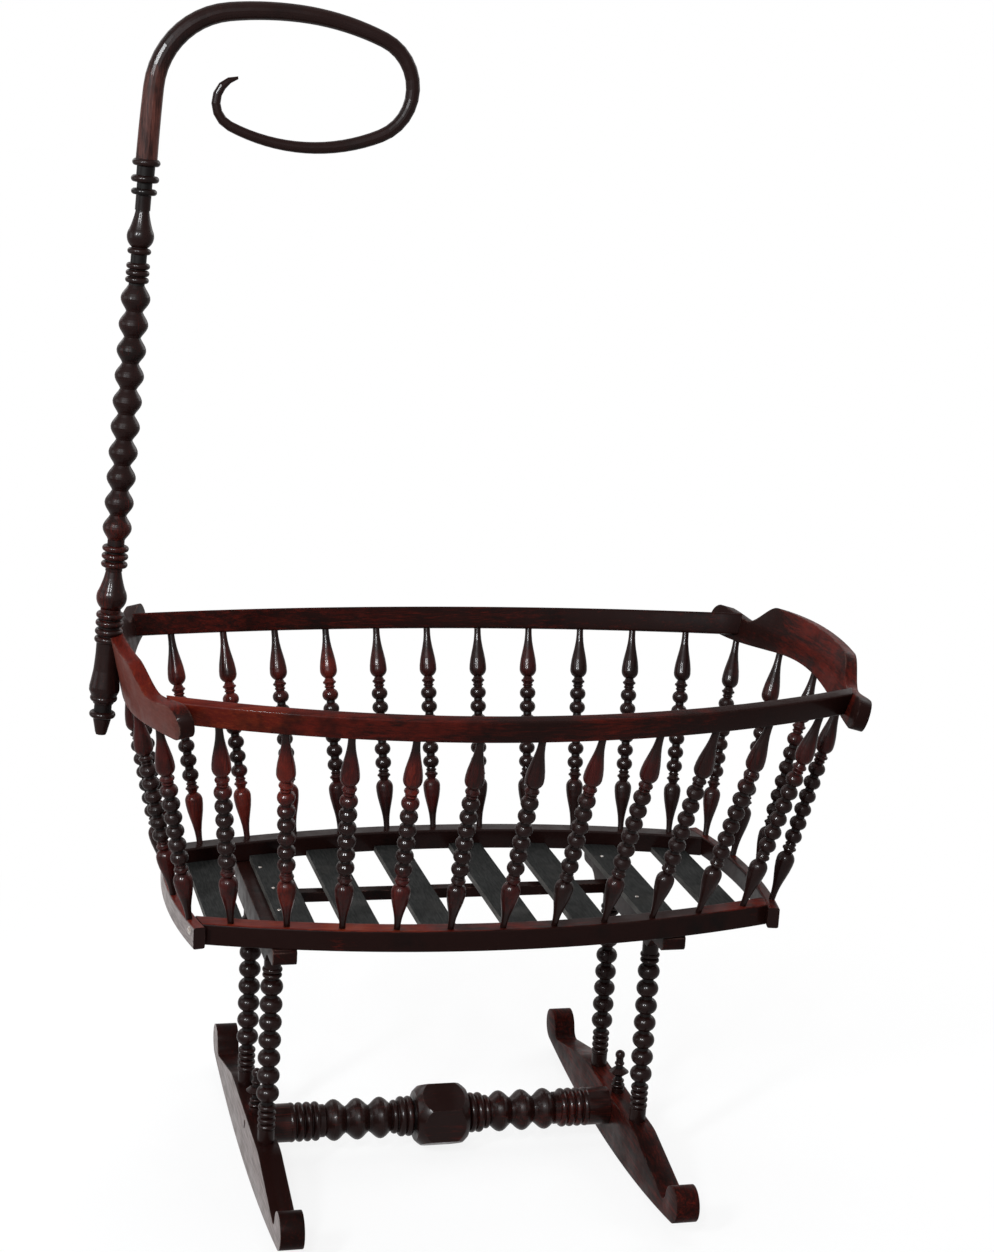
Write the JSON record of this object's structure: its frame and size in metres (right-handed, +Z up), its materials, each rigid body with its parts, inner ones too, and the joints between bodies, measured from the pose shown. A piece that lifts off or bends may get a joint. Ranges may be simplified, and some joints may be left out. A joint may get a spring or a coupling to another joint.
{
  "type": "rocking cradle on stand",
  "caption": "Boat-shaped slatted cradle with bobbin-turned spindles on a turned stand with curved rockers, and a tall turned pole ending in a swan-neck hook for a canopy.",
  "frame": {"origin": "on the floor, in the middle of the overall length and width", "axes": "+X along the length from the head end (pole) to the foot end, -Y the front, +Z up"},
  "size_m": [1.166, 0.74, 1.78],
  "materials": {
    "red_mahogany": "dark red-brown polished mahogany, glossy varnish",
    "dark_mahogany": "near-black red-brown polished wood, glossy varnish",
    "slat_wood": "dull dark grey-brown wood, unpolished"
  },
  "bodies": {
    "root": {"head_rocker": "red_mahogany", "foot_rocker": "red_mahogany", "head_front_post": "red_mahogany", "head_back_post": "red_mahogany", "foot_front_post": "red_mahogany", "foot_back_post": "red_mahogany", "rocker_finials": "red_mahogany", "head_bearer": "red_mahogany", "foot_bearer": "red_mahogany", "lower_stretcher": "red_mahogany", "upper_stretcher_bar": "dark_mahogany", "front_bottom_rail": "red_mahogany", "back_bottom_rail": "red_mahogany", "head_bottom_rail": "red_mahogany", "foot_bottom_rail": "red_mahogany", "bottom_slat_1": "slat_wood", "bottom_slat_2": "slat_wood", "bottom_slat_3": "slat_wood", "bottom_slat_4": "slat_wood", "bottom_slat_5": "slat_wood", "bottom_slat_6": "slat_wood", "bottom_slat_7": "slat_wood", "bottom_slat_8": "slat_wood", "front_spindle_1": "red_mahogany", "front_spindle_2": "red_mahogany", "front_spindle_3": "red_mahogany", "front_spindle_4": "red_mahogany", "front_spindle_5": "red_mahogany", "front_spindle_6": "red_mahogany", "front_spindle_7": "red_mahogany", "front_spindle_8": "red_mahogany", "front_spindle_9": "red_mahogany", "front_spindle_10": "red_mahogany", "front_spindle_11": "red_mahogany", "back_spindle_1": "red_mahogany", "back_spindle_2": "red_mahogany", "back_spindle_3": "red_mahogany", "back_spindle_4": "red_mahogany", "back_spindle_5": "red_mahogany", "back_spindle_6": "red_mahogany", "back_spindle_7": "red_mahogany", "back_spindle_8": "red_mahogany", "back_spindle_9": "red_mahogany", "back_spindle_10": "red_mahogany", "back_spindle_11": "red_mahogany", "head_spindle_1": "red_mahogany", "head_spindle_2": "red_mahogany", "head_spindle_3": "red_mahogany", "head_spindle_4": "red_mahogany", "foot_spindle_1": "red_mahogany", "foot_spindle_2": "red_mahogany", "foot_spindle_3": "red_mahogany", "foot_spindle_4": "red_mahogany", "front_top_rail": "red_mahogany", "back_top_rail": "red_mahogany", "head_board": "red_mahogany", "foot_board": "red_mahogany", "canopy_pole": "red_mahogany", "swan_neck_hook": "dark_mahogany", "pole_pegs": "dark_mahogany"}
  },
  "joints": []
}
